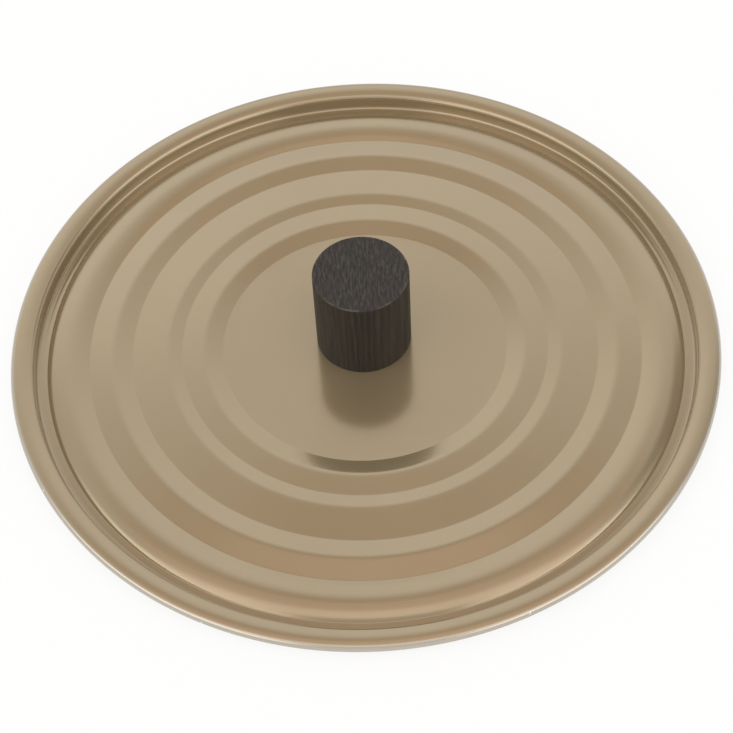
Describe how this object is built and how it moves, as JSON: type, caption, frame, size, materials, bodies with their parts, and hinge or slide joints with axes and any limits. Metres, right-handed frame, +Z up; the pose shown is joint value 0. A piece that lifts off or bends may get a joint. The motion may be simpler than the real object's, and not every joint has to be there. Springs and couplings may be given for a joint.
{
  "type": "candle tin lid",
  "caption": "Round beaded metal tin lid with a plug groove, a rolled rim and a small dark wooden knob screwed on from underneath.",
  "frame": {"origin": "middle of the disc, on the level that the underside of the groove rests on", "axes": "+Z up through the disc, towards the knob; +Y away from the picture's camera, the way the knob sits off the middle"},
  "size_m": [0.164, 0.164, 0.0235],
  "materials": {
    "lacquered_sheet": "satin champagne gold lacquer on steel sheet",
    "dark_wood": "open grained wood stained near black, dull wax",
    "zinc_screw": "bright zinc plate"
  },
  "bodies": {
    "root": {"pressed_lid": "lacquered_sheet", "wooden_knob": "dark_wood", "knob_screw": "zinc_screw"}
  },
  "joints": []
}
